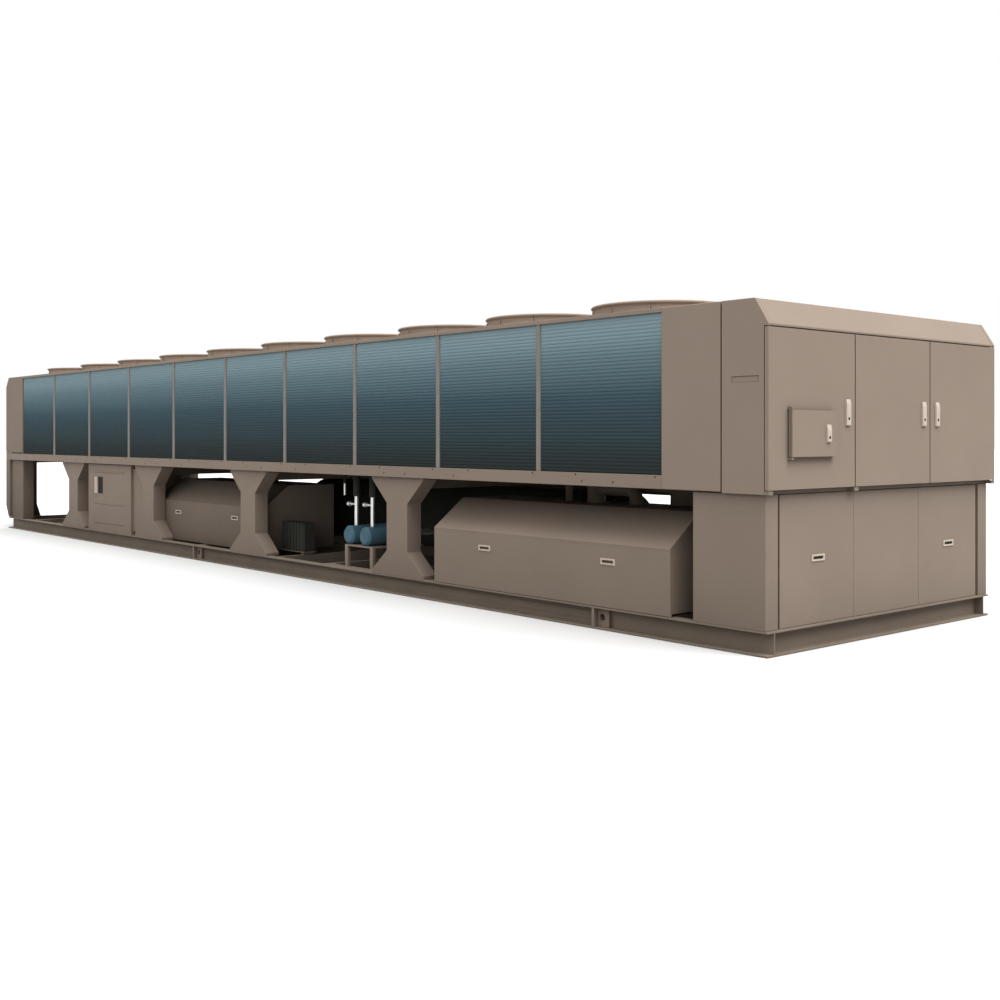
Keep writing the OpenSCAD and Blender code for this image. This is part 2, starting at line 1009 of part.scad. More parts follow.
// Pin at the foot and at the head of every door
module door_pivots() {
    color(silver)
        for (y = [left_pivot_y, middle_pivot_y, right_pivot_y]) {
            translate([pivot_x, y, cab_floor_z])
                cylinder(r = pivot_r, h = pivot_l);
            translate([pivot_x, y, lip_z - pivot_l])
                cylinder(r = pivot_r, h = pivot_l);
        }
}

// Door slab with its two pivot holes
module door(y0, pivot_y) {
    difference() {
        block([door_x0, y0, door_z0], [cab_x1, y0 + door_w, door_z1]);
        translate([pivot_x, pivot_y, door_z0 - eps])
            cylinder(r = pivot_r + pivot_fit, h = pivot_l + eps);
        translate([pivot_x, pivot_y, door_z1 - pivot_l])
            cylinder(r = pivot_r + pivot_fit, h = pivot_l + eps);
    }
}

// Ear of the access cover with its pin, above or below the cover
module cover_ear(z_ear, z_pin) {
    translate([cab_x1, cover_pivot_y - ear_w / 2, z_ear])
        cube([cover_x1 - cab_x1, ear_w, ear_t]);
    translate([cover_pivot_x, cover_pivot_y, z_pin])
        cylinder(r = cover_pin_r, h = cover_pin_l);
}

module left_door() {
    color(paint) {
        door(-upper_y, left_pivot_y);
        cover_ear(cover_z0 + cover_h + door_clear, cover_z0 + cover_h + door_clear - cover_pin_l);
        cover_ear(cover_z0 - door_clear - ear_t, cover_z0 - door_clear);
    }
}

module middle_door() {
    color(paint)
        door(-door_w / 2, middle_pivot_y);
}

module right_door() {
    color(paint)
        door(upper_y - door_w, right_pivot_y);
}

// Upright flush handle on a face across X, with a sloping head and a keyhole near its foot
module flush_handle(x, y, z, w, l) {
    difference() {
        along_y(y - w / 2, w)
            translate([x, z - l / 2])
                polygon([
                    [0, 0], [handle_t - handle_foot / 2, 0], [handle_t, handle_foot],
                    [handle_t, l - handle_slope], [handle_t / 2, l], [0, l]
                ]);
        rod_x(keyhole_r, x + handle_t - keyhole_depth, x + handle_t + eps, y, z - l / 2 + keyhole_at * l);
    }
}

module door_handle(y) {
    flush_handle(cab_x1, y, handle_mid, handle_w, handle_l);
}

module left_door_handle() {
    color(silver)
        door_handle(-door_w / 2 - door_gap - handle_edge);
}

module middle_door_handle() {
    color(silver)
        door_handle(door_w / 2 - handle_edge);
}

module right_door_handle() {
    color(silver)
        door_handle(door_w / 2 + door_gap + handle_edge);
}

module access_cover() {
    color(paint)
        difference() {
            block(
                [cover_x0, cover_y0, cover_z0],
                [cover_x1, cover_y0 + cover_w, cover_z0 + cover_h]
            );
            translate([cover_pivot_x, cover_pivot_y, cover_z0 - eps])
                cylinder(r = cover_pin_r + pivot_fit, h = cover_pin_l + eps);
            translate([cover_pivot_x, cover_pivot_y, cover_z0 + cover_h - cover_pin_l])
                cylinder(r = cover_pin_r + pivot_fit, h = cover_pin_l + eps);
        }
}

module access_latch() {
    color(silver)
        flush_handle(cover_x1, cover_y0 + cover_w - latch_edge, cover_z0 + cover_h / 2, latch_w, latch_l);
}

// Compressor enclosure with a sloping shoulder and two pull pockets
module enclosure(i) {
    y0 = -base_y + encl_back[i];
    difference() {
        along_x(encl_x(i) - encl_l / 2, encl_l)
            polygon([
                [y0, encl_skirt_z], [y0 + encl_skirt_t, encl_skirt_z], [y0 + encl_skirt_t, encl_z0],
                [y0 + encl_depth, encl_z0], [y0 + encl_depth, encl_top_z],
                [y0 + encl_slope, encl_top_z], [y0, encl_front_z]
            ]);
        for (off = encl_pull_offs[i])
            pull_pocket_y(encl_x(i) + off, y0, encl_pull_z);
    }
}

module near_enclosure() {
    color(paint)
        enclosure(0);
}

module far_enclosure() {
    color(paint)
        enclosure(1);
}

// Rubber pads between the cross members and the enclosures
module enclosure_pads() {
    color(black)
        for (i = [0, 1])
            for (x = cross_xs)
                if (abs(x - encl_x(i)) < encl_l / 2 - pad_w)
                    for (y = [encl_skirt_t + pad_w, encl_depth - pad_w])
                        translate([x - cross_flange / 2, -base_y + encl_back[i] + y - pad_w / 2, base_h])
                            cube([cross_flange, pad_w, encl_z0 - base_h]);
}

// Pull frame on a front face
module pull_y(x, y, z) {
    difference() {
        translate([x - pull_w / 2, y - pull_t, z - pull_h / 2])
            cube([pull_w, pull_t, pull_h]);
        translate([x - pull_slot_w / 2, y - pull_t - eps, z - pull_slot_h / 2])
            cube([pull_slot_w, pull_t + 2 * eps, pull_slot_h]);
    }
}

// Pull frame on an end face
module pull_x(x, y, z) {
    difference() {
        translate([x, y - pull_w / 2, z - pull_h / 2])
            cube([pull_t, pull_w, pull_h]);
        translate([x - eps, y - pull_slot_w / 2, z - pull_slot_h / 2])
            cube([pull_t + 2 * eps, pull_slot_w, pull_slot_h]);
    }
}

module pull_handles() {
    color(silver) {
        for (i = [0, 1])
            for (off = encl_pull_offs[i])
                pull_y(encl_x(i) + off, -base_y + encl_back[i], encl_pull_z);
        for (i = [0, 2])
            pull_x(lower_x1 - lower_set, lower_panel_y(i) + lower_panel_w / 2, lower_pull_z);
        block(
            [box_x + box_strip_x - box_strip_w / 2, -base_y - box_strip_t, box_slot_z0],
            [box_x + box_strip_x + box_strip_w / 2, -base_y, box_slot_z0 + box_slot_h]
        );
    }
}

// Box with pressed ribs, a recess and the filler plate behind the next leg
module junction_box() {
    color(paint)
        difference() {
            union() {
                block(
                    [box_x - box_w / 2, -base_y, base_h],
                    [box_x + box_w / 2, -base_y + box_front_t, rail_z - box_top_gap]
                );
                block(
                    [box_x - box_w / 2 + box_lip, -base_y + box_front_t, base_h + box_low],
                    [box_x + box_w / 2 - box_lip, -base_y + box_front_t + box_depth, rail_z - box_low]
                );
                block(
                    [box_x + box_w / 2 - 2 * box_lip, -base_y + leg_depth, base_h + box_low],
                    [leg_xs[1] - leg_waist / 2, -base_y + leg_depth + filler_t, rail_z - box_low]
                );
                for (z = box_rib_zs)
                    block(
                        [box_x - box_rib_l / 2, -base_y - box_rib_t, base_h + z],
                        [box_x + box_rib_l / 2, -base_y, base_h + z + box_rib_h]
                    );
            }
            block(
                [box_x + box_slot_x - box_slot_w / 2, -base_y - eps, box_slot_z0],
                [box_x + box_slot_x + box_slot_w / 2, -base_y + box_slot_t, box_slot_z0 + box_slot_h]
            );
        }
}

// Places of the two water nozzles along the shell
function nozzle_x(i) = evap_x0 + (i == 0 ? nozzle_in : evap_l - nozzle_in);

module evaporator() {
    color(black) {
        translate([evap_x0, evap_y, evap_z])
            rotate([0, 90, 0])
                rotate_extrude($fn = 72)
                    polygon([
                        [0, 0], [evap_flat_r, 0], [evap_r, evap_dish], [evap_flange_r, evap_dish],
                        [evap_flange_r, evap_dish + evap_flange_t], [evap_r, evap_dish + evap_flange_t],
                        [evap_r, evap_l - evap_dish - evap_flange_t],
                        [evap_flange_r, evap_l - evap_dish - evap_flange_t],
                        [evap_flange_r, evap_l - evap_dish], [evap_r, evap_l - evap_dish],
                        [evap_flat_r, evap_l], [0, evap_l]
                    ]);
        for (i = [0, 1])
            rod_y(nozzle_r, nozzle_x(i), evap_y, evap_y + nozzle_end, evap_z);
    }
}

module evaporator_saddles() {
    color(paint_dark)
        for (i = saddle_at)
            difference() {
                block(
                    [cross_xs[i] - saddle_t / 2, evap_y - saddle_w / 2, base_h],
                    [cross_xs[i] + saddle_t / 2, evap_y + saddle_w / 2, base_h + saddle_h]
                );
                rod_x(evap_r + fit_gap, cross_xs[i] - saddle_t, cross_xs[i] + saddle_t, evap_y, evap_z);
            }
}

module water_pipes() {
    color(paint_dark)
        for (i = [0, 1])
            difference() {
                union() {
                    rod_y(pipe_r, nozzle_x(i), evap_y + nozzle_end, pipe_y1, evap_z);
                    rod_y(
                        pipe_ring_r, nozzle_x(i),
                        pipe_y1 - pipe_ring_back - pipe_ring_t, pipe_y1 - pipe_ring_back, evap_z
                    );
                }
                rod_y(pipe_bore_r, nozzle_x(i), evap_y + nozzle_end - eps, pipe_y1 + eps, evap_z);
            }
}

module filter_driers() {
    color([0.33, 0.43, 0.50])
        for (x = drier_xs)
            translate([x, drier_y0, drier_z])
                rotate([-90, 0, 0])
                    rotate_extrude()
                        polygon([
                            [0, 0], [drier_r - drier_round, 0], [drier_r, drier_round],
                            [drier_r, drier_l - drier_round], [drier_r - drier_round, drier_l], [0, drier_l]
                        ]);
}

module drier_stand() {
    shelf_z = drier_z - drier_r - fit_gap;
    x0 = drier_xs[0] - stand_over[0];
    x1 = drier_xs[1] + stand_over[1];
    color(paint) {
        block([x0, stand_y0, shelf_z - stand_t], [x1, stand_y0 + stand_d, shelf_z]);
        for (x = [x0, x1 - stand_post_w])
            block([x, stand_y0, base_h], [x + stand_post_w, stand_y0 + stand_post_d, shelf_z - stand_t]);
        block(
            [cross_xs[sill_at] + cross_flange / 2 + web_t, -clear_y, base_h - stand_t],
            [cross_xs[sill_at + 1] - cross_flange / 2, -clear_y + sill_w, base_h]
        );
    }
}

// The piece cut back to clear the evaporator shell
module clear_of_shell() {
    difference() {
        children();
        rod_x(evap_r + fit_gap, evap_x0, evap_x0 + evap_l, evap_y, evap_z);
    }
}

module liquid_pipes() {
    color(silver)
        for (i = [0, 1]) {
            difference() {
                union() {
                    translate([drier_xs[i], stem_y, drier_z])
                        cylinder(r = stem_r, h = stem_l);
                    rod_x(valve_r, drier_xs[i] - valve_l, drier_xs[i], stem_y, valve_z);
                    rod_x(knob_r, drier_xs[i] - valve_l - knob_l, drier_xs[i] - valve_l, stem_y, valve_z);
                }
                rod_y(drier_r + fit_gap, drier_xs[i], drier_y0 - eps, drier_y0 + drier_l, drier_z);
            }
            clear_of_shell()
                rod_y(outlet_r, drier_xs[i], drier_y0 + drier_l, evap_y, drier_z);
        }
}

module pipe_sleeves() {
    color(black)
        for (x = drier_xs)
            translate([x, stem_y, stem_top])
                cylinder(r = sleeve_r, h = rail_z + rail_t - stem_top);
}

// Suction pipe from the back of an enclosure to the shell
module suction_pipe(i, x) {
    clear_of_shell()
        rod_y(suction_r, x, -base_y + encl_back[i] + encl_depth, evap_y, suction_z);
}

module suction_pipes() {
    color(black) {
        suction_pipe(1, evap_x0 + suction_in[0]);
        suction_pipe(0, evap_x0 + evap_l - suction_in[1]);
    }
}

// Branch that leaves the enclosure roof and bends over to the riser
module discharge_branch() {
    bend_x = discharge_branch_off - discharge_bend;
    translate([discharge_branch_off, 0, 0])
        cylinder(r = discharge_branch_r, h = discharge_rise - discharge_bend);
    translate([bend_x, 0, discharge_rise - discharge_bend])
        rotate([90, 0, 0])
            rotate_extrude(angle = 90)
                translate([discharge_bend, 0])
                    circle(r = discharge_branch_r);
    rod_x(discharge_branch_r, discharge_off, bend_x, 0, discharge_rise);
}

module discharge_pipes() {
    rise = rail_z + rail_t - encl_top_z;
    color(paint_dark)
        for (i = [0, 1])
            translate([encl_x(i), -base_y + encl_back[i] + encl_depth - discharge_back, encl_top_z]) {
                translate([discharge_off, 0, 0])
                    cylinder(r = discharge_r, h = rise);
                translate([discharge_small_off, 0, 0])
                    cylinder(r = discharge_small_r, h = rise);
                discharge_branch();
            }
}

// Long duct under the ties at the back and the riser on the near enclosure
module cable_ducts() {
    y1 = base_y - leg_depth - duct_clear;
    z1 = rail_z - leg_t - tie_h;
    riser_x = encl_x(0) + riser_off;
    riser_y = -base_y + encl_back[0] + encl_depth - riser_back;
    color(paint_dark) {
        block([coil_x0, y1 - duct_w + duct_lip, z1 - duct_h], [lower_x0, y1 - duct_lip, z1 - duct_lid_t]);
        block([coil_x0, y1 - duct_w, z1 - duct_lid_t], [lower_x0, y1, z1]);
        block([riser_x, riser_y - riser_d, encl_top_z], [riser_x + riser_w, riser_y, rail_z + rail_t]);
        block(
            [riser_x - riser_branch_l, riser_y - riser_d, rail_z + rail_t - riser_branch_h],
            [riser_x, riser_y, rail_z + rail_t]
        );
    }
}

base_rails();
base_cross_members();
lifting_lugs();
front_legs();
back_legs();
tail_posts();
cross_ties();
lower_side_panels();
lower_end_panels();
lower_back_panel();
lower_rails();
top_rails();
coil_dividers();
front_coils();
back_coils();
plenum_floor();
coil_end_panels();
tail_side_panels();
tail_end_cover();
fan_deck();
front_shrouds();
back_shrouds();
front_guards();
back_guards();
front_fans();
back_fans();
cabinet_sides();
cabinet_back();
cabinet_floor();
cabinet_jambs();
cabinet_hood();
door_pivots();
left_door();
middle_door();
right_door();
left_door_handle();
middle_door_handle();
right_door_handle();
access_cover();
access_latch();
near_enclosure();
far_enclosure();
enclosure_pads();
pull_handles();
junction_box();
evaporator();
evaporator_saddles();
water_pipes();
filter_driers();
drier_stand();
liquid_pipes();
pipe_sleeves();
suction_pipes();
discharge_pipes();
cable_ducts();
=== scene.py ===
"""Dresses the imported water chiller: paint, coils, wires, screws, light and camera."""
import json
import math

import bmesh
import bpy
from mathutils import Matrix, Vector


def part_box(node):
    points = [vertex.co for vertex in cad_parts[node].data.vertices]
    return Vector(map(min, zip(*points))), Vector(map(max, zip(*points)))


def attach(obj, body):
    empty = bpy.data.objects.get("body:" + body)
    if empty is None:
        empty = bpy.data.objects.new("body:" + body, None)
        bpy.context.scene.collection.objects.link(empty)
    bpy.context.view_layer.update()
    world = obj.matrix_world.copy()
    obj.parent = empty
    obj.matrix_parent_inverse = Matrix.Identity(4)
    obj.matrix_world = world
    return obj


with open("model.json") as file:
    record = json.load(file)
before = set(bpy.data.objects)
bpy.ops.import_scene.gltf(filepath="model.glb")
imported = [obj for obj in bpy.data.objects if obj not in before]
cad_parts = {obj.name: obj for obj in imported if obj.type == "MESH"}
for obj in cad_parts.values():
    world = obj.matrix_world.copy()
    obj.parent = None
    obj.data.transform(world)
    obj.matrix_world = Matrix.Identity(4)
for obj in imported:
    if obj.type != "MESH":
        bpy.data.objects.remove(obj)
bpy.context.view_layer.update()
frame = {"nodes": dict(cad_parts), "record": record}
nodes = frame["nodes"]
ROOT = "chiller"

# Camera of the photograph: place, heading, lens and vertical shift
CAMERA_PLACE = (9.9655, -6.4754, 1.2011)
CAMERA_HEADING = math.radians(49.4)
SENSOR_MM = 36.0
LENS_MM = 43.06
SHIFT_Y = -0.0647
CLIP_END = 400.0

# Colours in linear light
TAUPE = (0.312, 0.246, 0.197, 1.0)
# Darker paint of the frame, darkened further as painted shade of the base channel
TAUPE_DARK = (0.260, 0.210, 0.165, 1.0)
ZINC = (0.270, 0.245, 0.218, 1.0)
BLACK = (0.012, 0.012, 0.013, 1.0)
SOFT_BLACK = (0.045, 0.046, 0.040, 1.0)
SILVER = (0.62, 0.62, 0.60, 1.0)
CREAM = (0.62, 0.53, 0.45, 1.0)
DRIER_BLUE = (0.085, 0.165, 0.212, 1.0)

# Gloss and grain of a painted surface: its gloss drifts in finer patches than its colour
GLOSS_BAND = 0.05
GLOSS_FINER = 6.0
GRAIN_DETAIL = 2.0
GRAIN_DEPTH = 0.0006

# How far the painted shade of a recess reaches
RECESS_SHADE_REACH = 0.45
RECESS_SHADE_SAMPLES = 8

# Levels between which the painted shade on the lower pieces fades out
GROUND_SHADE_LOW = 0.14
GROUND_SHADE_HIGH = 1.20

# Levels between which the painted shade under the overhang sets in on the slope of the near enclosure
OVERHANG_SHADE_LOW = 0.50
OVERHANG_SHADE_HIGH = 0.76

# Coils: fin lines, patches of gloss and the share of the rows' slope that shows in the light
FIN_SCALE = 160.0
FIN_RELIEF = 0.25
FIN_DEPTH = 0.001
COIL_PATCHES = 9.0
COIL_GLOSS = (0.48, 0.60)
ROW_SHADING = 0.45

# Mirrored light of paint and coated fins
PAINT_SHEEN = 0.05
COIL_SHEEN = 0.004

# Painted reflection on the coil: its colour from its foot to its top
COIL_REFLECTION_STOPS = (
    (0.035, 0.042, 0.042, 1.0), (0.041, 0.054, 0.057, 1.0), (0.050, 0.075, 0.085, 1.0),
    (0.056, 0.090, 0.105, 1.0), (0.068, 0.114, 0.136, 1.0), (0.112, 0.178, 0.206, 1.0),
    (0.160, 0.240, 0.273, 1.0), (0.240, 0.345, 0.382, 1.0), (0.280, 0.385, 0.420, 1.0),
)


def new_material(name):
    """A new material with its node tree and its principled shader."""
    material = bpy.data.materials.new(name)
    material.use_nodes = True
    tree = material.node_tree
    shader = tree.nodes["Principled BSDF"]
    return material, tree, shader


def noise(tree, scale, detail=3.0):
    """Noise in object space."""
    coords = tree.nodes.new("ShaderNodeTexCoord")
    texture = tree.nodes.new("ShaderNodeTexNoise")
    texture.inputs["Scale"].default_value = scale
    texture.inputs["Detail"].default_value = detail
    tree.links.new(coords.outputs["Object"], texture.inputs["Vector"])
    return texture.outputs["Fac"]


def ramp(tree, source, low, high, start=0.35, end=0.65):
    """Colour from low to high as the source goes from start to end."""
    node = tree.nodes.new("ShaderNodeValToRGB")
    node.color_ramp.elements[0].position = start
    node.color_ramp.elements[0].color = low
    node.color_ramp.elements[1].position = end
    node.color_ramp.elements[1].color = high
    tree.links.new(source, node.inputs["Fac"])
    return node.outputs["Color"]


def stops(tree, source, colours):
    """Colour through evenly spaced stops, the first at 0 and the last at 1."""
    node = tree.nodes.new("ShaderNodeValToRGB")
    points = node.color_ramp.elements
    last = len(colours) - 1
    for i in range(1, last):
        points.new(i / last)
    for point, colour in zip(points, colours):
        point.color = colour
    tree.links.new(source, node.inputs["Fac"])
    return node.outputs["Color"]


def bump(tree, shader, height, strength, distance):
    """Fine relief on a shader."""
    node = tree.nodes.new("ShaderNodeBump")
    node.inputs["Strength"].default_value = strength
    node.inputs["Distance"].default_value = distance
    tree.links.new(height, node.inputs["Height"])
    tree.links.new(node.outputs["Normal"], shader.inputs["Normal"])
    return node


def shade(colour, factor):
    """The colour made lighter or darker."""
    return tuple(c * factor for c in colour[:3]) + (1.0,)


def grey(value):
    """A grey of that value."""
    return (value, value, value, 1.0)


def height_fraction(tree, start, end):
    """Fraction that is 0 at the start level and 1 at the end level."""
    coords = tree.nodes.new("ShaderNodeTexCoord")
    split = tree.nodes.new("ShaderNodeSeparateXYZ")
    level = tree.nodes.new("ShaderNodeMapRange")
    level.inputs["From Min"].default_value = start
    level.inputs["From Max"].default_value = end
    tree.links.new(coords.outputs["Object"], split.inputs["Vector"])
    tree.links.new(split.outputs["Z"], level.inputs["Value"])
    return level.outputs["Result"]


def darkened(tree, colours, level):
    """The colours times the level."""
    mix = tree.nodes.new("ShaderNodeVectorMath")
    mix.operation = "SCALE"
    tree.links.new(colours, mix.inputs[0])
    tree.links.new(level, mix.inputs["Scale"])
    return mix.outputs["Vector"]


def recess_shaded(tree, colours, depth):
    """The colours, darker by up to the depth where other pieces stand close: painted shade in recesses."""
    near = tree.nodes.new("ShaderNodeAmbientOcclusion")
    near.samples = RECESS_SHADE_SAMPLES
    near.inputs["Distance"].default_value = RECESS_SHADE_REACH
    level = tree.nodes.new("ShaderNodeMapRange")
    level.inputs["To Min"].default_value = 1.0 - depth
    tree.links.new(near.outputs["AO"], level.inputs["Value"])
    return darkened(tree, colours, level.outputs["Result"])


def height_shaded(tree, colours, depth, dark, clear):
    """The colours, darker by up to the depth from the clear level to the dark one: painted shade by height.
    """
    level = height_fraction(tree, dark, clear)
    level.node.inputs["To Min"].default_value = 1.0 - depth
    return darkened(tree, colours, level)


def mottled(
    name, colour, roughness, metallic=0.0, spread=0.06, scale=1.7, grain=450.0, relief=0.05,
    recess_shade=0.0, ground_shade=0.0, overhang_shade=0.0,
):
    """Surface with a slow drift of colour, uneven gloss, a fine grain, and painted shade in recesses, near
    the ground and under an overhang.
    """
    material, tree, shader = new_material(name)
    drift = noise(tree, scale)
    colours = ramp(tree, drift, shade(colour, 1.0 - spread), shade(colour, 1.0 + spread))
    if recess_shade:
        colours = recess_shaded(tree, colours, recess_shade)
    if ground_shade:
        colours = height_shaded(tree, colours, ground_shade, GROUND_SHADE_LOW, GROUND_SHADE_HIGH)
    if overhang_shade:
        colours = height_shaded(tree, colours, overhang_shade, OVERHANG_SHADE_HIGH, OVERHANG_SHADE_LOW)
    tree.links.new(colours, shader.inputs["Base Color"])
    shader.inputs["Specular IOR Level"].default_value = PAINT_SHEEN
    patches = noise(tree, scale * GLOSS_FINER)
    gloss = ramp(tree, patches, grey(roughness - GLOSS_BAND), grey(roughness + GLOSS_BAND))
    tree.links.new(gloss, shader.inputs["Roughness"])
    shader.inputs["Metallic"].default_value = metallic
    bump(tree, shader, noise(tree, grain, GRAIN_DETAIL), relief, GRAIN_DEPTH)
    return material


def coil_material():
    """Coated fins with a painted reflection, blue grey at the top and nearly black at the foot, with
    upright fin lines and calm rows.
    """
    material, tree, shader = new_material("coil_fins")
    low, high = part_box("front_coils")
    colours = stops(tree, height_fraction(tree, low[2], high[2]), COIL_REFLECTION_STOPS)
    tree.links.new(colours, shader.inputs["Base Color"])
    shader.inputs["Specular IOR Level"].default_value = COIL_SHEEN
    gloss = ramp(tree, noise(tree, COIL_PATCHES), *(grey(value) for value in COIL_GLOSS))
    tree.links.new(gloss, shader.inputs["Roughness"])
    coords = tree.nodes.new("ShaderNodeTexCoord")
    lines = tree.nodes.new("ShaderNodeTexWave")
    lines.bands_direction = "X"
    lines.inputs["Scale"].default_value = FIN_SCALE
    tree.links.new(coords.outputs["Object"], lines.inputs["Vector"])
    relief = bump(tree, shader, lines.outputs["Fac"], FIN_RELIEF, FIN_DEPTH)
    surface = tree.nodes.new("ShaderNodeNewGeometry")
    calm = tree.nodes.new("ShaderNodeVectorMath")
    calm.operation = "MULTIPLY"
    calm.inputs[1].default_value = (1.0, 1.0, ROW_SHADING)
    unit = tree.nodes.new("ShaderNodeVectorMath")
    unit.operation = "NORMALIZE"
    tree.links.new(surface.outputs["Normal"], calm.inputs[0])
    tree.links.new(calm.outputs["Vector"], unit.inputs[0])
    tree.links.new(unit.outputs["Vector"], relief.inputs["Normal"])
    return material


# Materials of the slots and of single nodes; the shroud paint is a lit copy of the taupe paint with painted
# light, the rail, low, slope, far and tail paints are shaded copies with painted shade
paint = mottled("taupe_paint", TAUPE, 0.50, spread=0.025, recess_shade=0.55)
shroud_lit_paint = mottled("shroud_lit_paint", shade(TAUPE, 1.06), 0.50, spread=0.03)
rail_shaded_paint = mottled("rail_shaded_paint", shade(TAUPE, 0.92), 0.50, spread=0.03, recess_shade=0.50)
low_shaded_paint = mottled("low_shaded_paint", TAUPE, 0.52, spread=0.03, recess_shade=0.35, ground_shade=0.22)
overhang_shaded_paint = mottled("overhang_shaded_paint", TAUPE, 0.52, spread=0.03, recess_shade=0.12, ground_shade=0.22, overhang_shade=0.50)
far_shaded_paint = mottled("far_shaded_paint", shade(TAUPE, 1.04), 0.54, spread=0.03, recess_shade=0.40, ground_shade=0.52)
tail_shaded_paint = mottled("tail_shaded_paint", shade(TAUPE, 0.84), 0.56, spread=0.03, recess_shade=0.40, ground_shade=0.40)
frame_paint = mottled("frame_paint", TAUPE_DARK, 0.55, spread=0.06, recess_shade=0.45)
dark_paint = mottled("black_paint", BLACK, 0.48, spread=0.15)
insulation = mottled("insulation", SOFT_BLACK, 0.85, spread=0.2, grain=180.0, relief=0.25)
silver = mottled("satin_silver", SILVER, 0.34, metallic=0.85, spread=0.04, scale=20.0)
plate = mottled("cream_plate", CREAM, 0.42, spread=0.03, scale=14.0)
zinc = mottled("zinc_coat", ZINC, 0.45, spread=0.05, scale=6.0)
drier = mottled("drier_blue", DRIER_BLUE, 0.40, spread=0.06, scale=8.0)
coil = coil_material()

SLOT_LOOKS = {
    "paint": paint,
    "frame_paint": frame_paint,
    "coil": coil,
    "dark_metal": dark_paint,
    "silver": silver,
    "insulation": insulation,
    "drier": drier,
    "light_paint": plate,
}


def dress(obj, material):
    """One material on the whole object."""
    obj.data.materials.clear()
    obj.data.materials.append(material)


# Rounding of sheet metal edges: large panels, small pieces and what counts as an edge
PANEL_EDGE = 0.004
SMALL_EDGE = 0.002
EDGE_SEGMENTS = 2
EDGE_ANGLE = math.radians(40.0)
WELD_GAP = 0.00005


def soften(obj, width):
    """Join the split corners and round the sharp edges a little."""
    weld = obj.modifiers.new("weld", "WELD")
    weld.merge_threshold = WELD_GAP
    edge = obj.modifiers.new("edge", "BEVEL")
    edge.width = width
    edge.segments = EDGE_SEGMENTS
    edge.limit_method = "ANGLE"
    edge.angle_limit = EDGE_ANGLE
    edge.harden_normals = True


for part in frame["record"]["subparts"]:
    dress(nodes[part["node"]], SLOT_LOOKS[part["material_slot"]])

# Nodes with a look of their own: zinc, and lit and shaded copies of the paint: painted light on the
# shrouds, painted shade on the rails, near the ground, on the enclosure slope and at the tail
OTHER_LOOKS = (
    (zinc, ("coil_dividers",)),
    (shroud_lit_paint, ("front_shrouds", "back_shrouds")),
    (rail_shaded_paint, ("lower_rails", "tail_end_cover", "lower_end_panels")),
    (low_shaded_paint, ("front_legs", "back_legs", "junction_box", "lower_side_panels")),
    (overhang_shaded_paint, ("near_enclosure",)),
    (frame_paint, ("cabinet_floor", "door_pivots")),
    (far_shaded_paint, ("far_enclosure",)),
    (tail_shaded_paint, ("tail_posts", "tail_side_panels")),
)
for look, names in OTHER_LOOKS:
    for name in names:
        dress(nodes[name], look)

SOFT_NODES = {
    PANEL_EDGE: (
        "left_door", "middle_door", "right_door", "near_enclosure", "far_enclosure", "cabinet_sides",
        "cabinet_hood", "coil_end_panels", "junction_box", "lower_side_panels", "lower_end_panels",
        "tail_side_panels", "tail_end_cover", "front_legs", "back_legs", "tail_posts",
    ),
    SMALL_EDGE: (
        "access_cover", "lower_rails", "top_rails", "base_rails", "base_cross_members", "coil_dividers",
        "drier_stand", "cable_ducts", "lifting_lugs", "left_door_handle", "middle_door_handle",
        "right_door_handle", "access_latch",
    ),
}
for width, names in SOFT_NODES.items():
    for name in names:
        soften(nodes[name], width)


def piece(name, mesh, material, body=ROOT):
    """A finished piece on a body."""
    obj = bpy.data.objects.new(name, mesh)
    bpy.context.scene.collection.objects.link(obj)
    obj.data.materials.append(material)
    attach(obj, body)


def mesh_of(name, builder):
    """A mesh made by a function that fills a bmesh."""
    work = bmesh.new()
    builder(work)
    mesh = bpy.data.meshes.new(name)
    work.to_mesh(mesh)
    work.free()
    return mesh


def add_box(work, low, high):
    """A box between two corners."""
    corners = [
        work.verts.new((x, y, z))
        for z in (low[2], high[2])
        for y in (low[1], high[1])
        for x in (low[0], high[0])
    ]
    for face in ((0, 2, 3, 1), (4, 5, 7, 6), (0, 1, 5, 4), (2, 6, 7, 3), (0, 4, 6, 2), (1, 3, 7, 5)):
        work.faces.new([corners[i] for i in face])


# Sides of a rod that looks round
ROUND_SIDES = 16


def add_rod(work, start, end, radius, sides):
    """A prism between two points."""
    start, end = Vector(start), Vector(end)
    along = (end - start).normalized()
    across = along.orthogonal().normalized()
    other = along.cross(across)
    rings = []
    for centre in (start, end):
        turns = [2.0 * math.pi * k / sides for k in range(sides)]
        rings.append([
            work.verts.new(centre + radius * (math.cos(t) * across + math.sin(t) * other)) for t in turns
        ])
    for k in range(sides):
        n = (k + 1) % sides
        work.faces.new((rings[0][k], rings[0][n], rings[1][n], rings[1][k]))
    work.faces.new(list(reversed(rings[0])))
    work.faces.new(rings[1])


def add_ring(work, centre, radius, wire, steps=56, sides=6):
    """A level ring of round wire."""
    loops = []
    for i in range(steps):
        turn = 2.0 * math.pi * i / steps
        loop = []
        for k in range(sides):
            lean = 2.0 * math.pi * k / sides
            out = radius + wire * math.cos(lean)
            loop.append(work.verts.new((
                centre[0] + out * math.cos(turn),
                centre[1] + out * math.sin(turn),
                centre[2] + wire * math.sin(lean),
            )))
        loops.append(loop)
    for i in range(steps):
        here, there = loops[i], loops[(i + 1) % steps]
        for k in range(sides):
            n = (k + 1) % sides
            work.faces.new((here[k], there[k], there[n], here[n]))


coil_low, coil_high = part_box("front_coils")
BAYS = 10
BAY = (coil_high[0] - coil_low[0]) / BAYS

# Fine rings between the main rings of the fan guards
FINE_RINGS = 13
FINE_WIRE = 0.0022
RING_MARGIN = 0.012
HUB_R = 0.108


